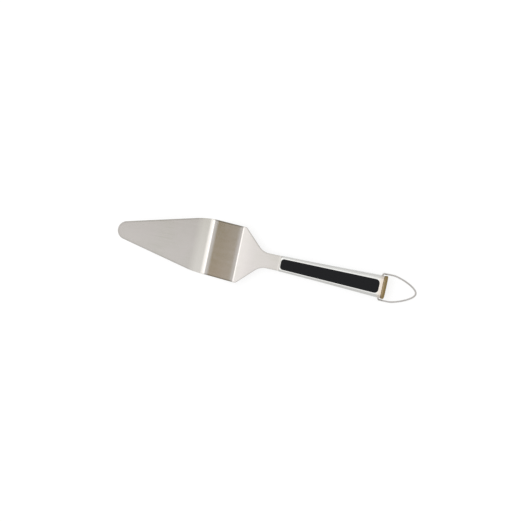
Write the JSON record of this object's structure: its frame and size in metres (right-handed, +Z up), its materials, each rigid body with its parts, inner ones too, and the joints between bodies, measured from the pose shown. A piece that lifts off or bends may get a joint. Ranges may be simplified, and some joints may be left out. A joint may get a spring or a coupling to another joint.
{
  "type": "pizza server",
  "caption": "Triangular steel pizza server: an offset blade, a hollow steel handle with soft black grip pads and a swinging wire hanging loop.",
  "frame": {"origin": "on the table under the middle of the server's box, with the server lying as it comes to rest: on its heel and the rear of its handle", "axes": "+X from the blade's tip to the hanging loop, +Y across the blade, +Z up from the table; the XZ plane is the server's mirror plane"},
  "size_m": [0.3512, 0.0656, 0.0374],
  "materials": {
    "sheet_steel": "satin, brushed along the blade",
    "shell_steel": "fine satin, brushed along the handle",
    "grip": "matte soft-touch black",
    "core": "moulded, hidden",
    "rivet_steel": "plain, hidden",
    "cap_metal": "tan satin",
    "wire": "bright drawn wire"
  },
  "bodies": {
    "server": {"blade": "sheet_steel", "upper_shell": "shell_steel", "lower_shell": "shell_steel", "upper_grip": "grip", "lower_grip": "grip", "upper_core": "core", "lower_core": "core", "front_tang_rivet": "rivet_steel", "rear_tang_rivet": "rivet_steel", "end_cap": "cap_metal"},
    "loop": {"hanging_loop": "wire"}
  },
  "joints": [
    {"name": "loop_swing", "type": "hinge", "parent": "server", "child": "loop", "pos_m": [0.13264, 0, 0.00836], "axis": [0, 1, 0], "range_deg": [-174, 154]}
  ]
}
